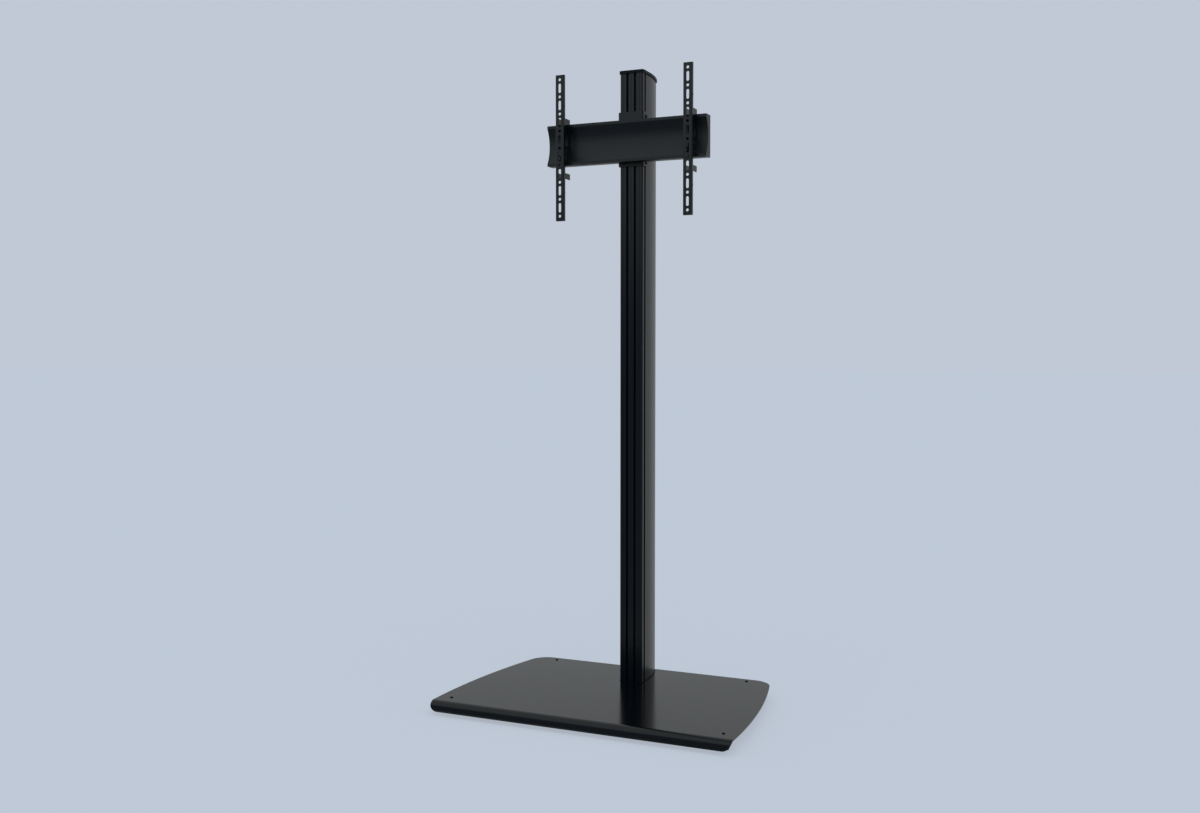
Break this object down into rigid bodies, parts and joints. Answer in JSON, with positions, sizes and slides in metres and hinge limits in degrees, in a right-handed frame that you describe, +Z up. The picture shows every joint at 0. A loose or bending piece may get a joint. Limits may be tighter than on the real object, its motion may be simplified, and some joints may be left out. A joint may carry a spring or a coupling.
{
  "type": "tv floor stand",
  "caption": "Floor stand for a flat screen: bowed steel base, slotted column, and a height-adjustable concave rail with tilting, sliding arms.",
  "frame": {"origin": "on the floor under the middle of the base plate's outline", "axes": "+X to the right seen from the front, +Y to the rear, +Z up; the screen side faces -Y"},
  "size_m": [0.894, 0.588, 1.8545],
  "materials": {
    "base_paint": "satin black powder coat",
    "frame_paint": "matt black paint",
    "column_anodised": "satin black anodised",
    "arm_paint": "satin black powder coat",
    "zinc": "dark zinc plate",
    "glide_plastic": "matt black moulding",
    "cap_plastic": "fine-textured black moulding",
    "pad_rubber": "matt black rubber"
  },
  "bodies": {
    "stand": {"base_plate": "base_paint", "cross_beam": "frame_paint", "rib_left": "frame_paint", "rib_right": "frame_paint", "foot_stud_front_left": "zinc", "foot_stud_front_right": "zinc", "foot_stud_rear_left": "zinc", "foot_stud_rear_right": "zinc", "foot_pad_front_left": "pad_rubber", "foot_pad_front_right": "pad_rubber", "foot_pad_rear_left": "pad_rubber", "foot_pad_rear_right": "pad_rubber", "weld_nut_front_left": "zinc", "weld_nut_front_right": "zinc", "weld_nut_rear_left": "zinc", "weld_nut_rear_right": "zinc", "column": "column_anodised", "cable_cover": "column_anodised", "column_cap": "cap_plastic", "column_bolt_front_left": "zinc", "column_bolt_front_right": "zinc", "column_bolt_rear_left": "zinc", "column_bolt_rear_right": "zinc"},
    "carriage": {"collar_bracket": "arm_paint", "rail": "column_anodised", "rail_end_left": "column_anodised", "rail_end_right": "column_anodised", "nut_bar_upper": "zinc", "nut_bar_lower": "zinc", "rail_screw_upper_left": "zinc", "rail_screw_upper_right": "zinc", "rail_screw_lower_left": "zinc", "rail_screw_lower_right": "zinc", "clamp_screw_upper_left": "zinc", "clamp_screw_upper_right": "zinc", "clamp_screw_lower_left": "zinc", "clamp_screw_lower_right": "zinc", "slot_nut_upper_left": "zinc", "slot_nut_upper_right": "zinc", "slot_nut_lower_left": "zinc", "slot_nut_lower_right": "zinc"},
    "left_slider": {"glide_left": "glide_plastic"},
    "right_slider": {"glide_right": "glide_plastic"},
    "left_arm": {"channel_left": "arm_paint", "cheek_left_outer": "arm_paint", "cheek_left_inner": "arm_paint", "peg_left_upper": "zinc", "peg_left_lower": "zinc"},
    "right_arm": {"channel_right": "arm_paint", "cheek_right_inner": "arm_paint", "cheek_right_outer": "arm_paint", "peg_right_upper": "zinc", "peg_right_lower": "zinc"}
  },
  "joints": [
    {"name": "height_slide", "type": "slide", "parent": "stand", "child": "carriage", "axis": [0, 0, 1], "range_m": [-0.9, 0.1]},
    {"name": "left_slide", "type": "slide", "parent": "carriage", "child": "left_slider", "axis": [1, 0, 0], "range_m": [-0.037, 0.12]},
    {"name": "right_slide", "type": "slide", "parent": "carriage", "child": "right_slider", "axis": [1, 0, 0], "range_m": [-0.12, 0.028]},
    {"name": "left_tilt", "type": "hinge", "parent": "left_slider", "child": "left_arm", "pos_m": [-0.2, 0.00273, 1.6435], "axis": [1, 0, 0], "range_deg": [0, 13]},
    {"name": "right_tilt", "type": "hinge", "parent": "right_slider", "child": "right_arm", "pos_m": [0.2, 0.00273, 1.6435], "axis": [1, 0, 0], "range_deg": [0, 13]}
  ]
}
